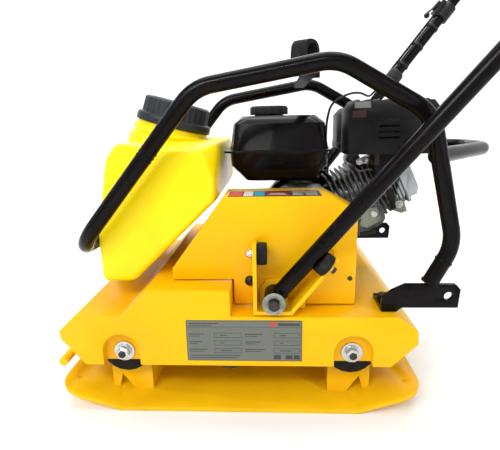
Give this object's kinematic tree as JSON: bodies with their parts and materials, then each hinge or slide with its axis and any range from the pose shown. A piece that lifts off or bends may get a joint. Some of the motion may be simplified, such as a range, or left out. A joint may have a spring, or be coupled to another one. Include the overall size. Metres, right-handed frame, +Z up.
{
  "type": "plate compactor",
  "caption": "Walk-behind petrol plate compactor: vibrating base plate, rubber-mounted deck with belt-driven exciter, water tank, roll cage and folding handle.",
  "frame": {"origin": "on the ground plane under the flat sole, midway between the front and rear shock mounts, on the centre plane", "axes": "+X towards the operator's end, +Y towards the machine's right side, +Z up"},
  "size_m": [1.038, 0.7343, 1.0048],
  "materials": {
    "plate_paint": "gloss yellow paint, scuffed",
    "deck_paint": "gloss yellow paint",
    "frame_paint": "gloss black powder coat",
    "engine_paint": "satin black enamel",
    "tank_plastic": "translucent moulded plastic",
    "black_plastic": "moulded black plastic",
    "rubber": "moulded black rubber",
    "steel": "machined steel",
    "cast": "machined cast iron",
    "cast_alu": "as-cast alloy",
    "dark_bolt": "blackened steel",
    "grey_enamel": "light grey enamel",
    "red_plastic": "red plastic",
    "tank_shell": "satin black shell holding petrol"
  },
  "bodies": {
    "base": {"base_plate": "plate_paint", "exciter_housing": "plate_paint", "exciter_cover": "plate_paint", "exciter_bearing_left": "steel", "exciter_bearing_right": "steel", "shock_mount_front_left": "rubber", "shock_mount_front_right": "rubber", "shock_mount_rear_left": "rubber", "shock_mount_rear_right": "rubber"},
    "deck": {"drive_belt": "rubber", "deck_frame": "deck_paint", "belt_guard": "deck_paint", "handle_bracket_left": "deck_paint", "handle_bracket_right": "deck_paint", "handle_pivot_bolt_left": "dark_bolt", "handle_pivot_bolt_right": "dark_bolt", "front_buffer_left": "rubber", "front_buffer_right": "rubber", "rear_buffer_left": "rubber", "rear_buffer_right": "rubber", "roll_cage": "frame_paint", "lifting_bar": "frame_paint", "rear_guard": "frame_paint", "front_stay": "frame_paint", "foot_plate_left": "frame_paint", "foot_plate_right": "frame_paint", "water_tank": "tank_plastic", "water_tap": "cast_alu", "sprinkler_bar": "plate_paint", "sprinkler_hose": "rubber", "crankcase": "cast_alu", "cylinder": "cast_alu", "cylinder_head": "cast_alu", "valve_cover": "grey_enamel", "fuel_tank": "tank_shell", "muffler_shield": "engine_paint", "muffler": "steel", "air_cleaner": "black_plastic", "carburettor": "cast_alu", "fan_shroud": "engine_paint", "recoil_cover": "engine_paint", "throttle_cable_arc": "rubber"},
    "exciter": {"eccentric_shaft": "steel", "exciter_pulley": "cast"},
    "clutch_drum": {"clutch_drum": "steel"},
    "crank": {"crankshaft": "steel", "flywheel": "cast_alu"},
    "starter_reel": {"starter_reel": "black_plastic"},
    "starter_grip": {"starter_grip": "black_plastic"},
    "handle": {"handle": "frame_paint", "grip_sleeve": "rubber", "throttle_clamp": "black_plastic", "throttle_cable": "rubber"},
    "throttle_lever": {"throttle_lever": "black_plastic"},
    "speed_lever": {"speed_lever": "steel"},
    "fuel_cap": {"fuel_cap": "black_plastic"},
    "water_cap": {"water_cap": "black_plastic"},
    "tap_lever": {"tap_lever": "red_plastic"},
    "engine_switch": {"engine_switch": "red_plastic"},
    "dipstick": {"dipstick": "black_plastic"}
  },
  "joints": [
    {"name": "deck_float", "type": "slide", "parent": "base", "child": "deck", "axis": [0, 0, 1], "range_m": [-0.006, 0.003], "stiffness_N_per_m": 200000, "springref_m": 0.005, "deforming": ["drive_belt"]},
    {"name": "exciter_spin", "type": "hinge", "parent": "base", "child": "exciter", "pos_m": [-0.02, 0, 0.072], "axis": [0, 1, 0], "continuous": true},
    {"name": "drum_spin", "type": "hinge", "parent": "deck", "child": "clutch_drum", "pos_m": [0.13, 0, 0.3], "axis": [0, 1, 0], "continuous": true},
    {"name": "crank_spin", "type": "hinge", "parent": "deck", "child": "crank", "pos_m": [0.13, 0, 0.3], "axis": [0, 1, 0], "continuous": true},
    {"name": "starter_pull", "type": "slide", "parent": "deck", "child": "starter_grip", "axis": [0, 0, 1], "range_m": [0, 0.09], "stiffness_N_per_m": 60, "springref_m": -0.03},
    {"name": "reel_spin", "type": "hinge", "parent": "deck", "child": "starter_reel", "pos_m": [0.13, 0.156, 0.3], "axis": [0, 1, 0], "range_deg": [0, 98]},
    {"name": "handle_fold", "type": "hinge", "parent": "deck", "child": "handle", "pos_m": [0.067, 0, 0.2085], "axis": [0, 1, 0], "range_deg": [-36, 0], "deforming": ["throttle_cable_arc"]},
    {"name": "throttle_turn", "type": "hinge", "parent": "handle", "child": "throttle_lever", "pos_m": [0.51502, 0.32055, 0.76573], "axis": [-0.7793, 0, 0.6266], "range_deg": [0, 70]},
    {"name": "speed_turn", "type": "hinge", "parent": "deck", "child": "speed_lever", "pos_m": [0.185, 0.068, 0.396], "axis": [0, 1, 0], "range_deg": [0, 20]},
    {"name": "fuel_cap_turn", "type": "hinge", "parent": "deck", "child": "fuel_cap", "pos_m": [0.06, 0.005, 0.515], "axis": [0, 0, 1], "range_deg": [0, 90]},
    {"name": "water_cap_turn", "type": "hinge", "parent": "deck", "child": "water_cap", "pos_m": [-0.137, 0, 0.506], "axis": [0.2756, 0, 0.9613], "range_deg": [0, 90]},
    {"name": "tap_turn", "type": "hinge", "parent": "deck", "child": "tap_lever", "pos_m": [-0.222, 0.13, 0.19], "axis": [0, 0, 1], "range_deg": [0, 90]},
    {"name": "switch_turn", "type": "hinge", "parent": "deck", "child": "engine_switch", "pos_m": [0.222, 0.147, 0.322], "axis": [0, 1, 0], "range_deg": [0, 45]},
    {"name": "dipstick_turn", "type": "hinge", "parent": "deck", "child": "dipstick", "pos_m": [0.2135, 0.04, 0.22], "axis": [1, 0, 0], "range_deg": [0, 90]}
  ],
  "couplings": [
    {"joint": "drum_spin", "follows": "exciter_spin", "ratio": 0.63636},
    {"joint": "reel_spin", "follows": "starter_pull", "rad_per_m": 18.87},
    {"joint": "speed_turn", "follows": "throttle_turn", "ratio": 0.2857}
  ]
}
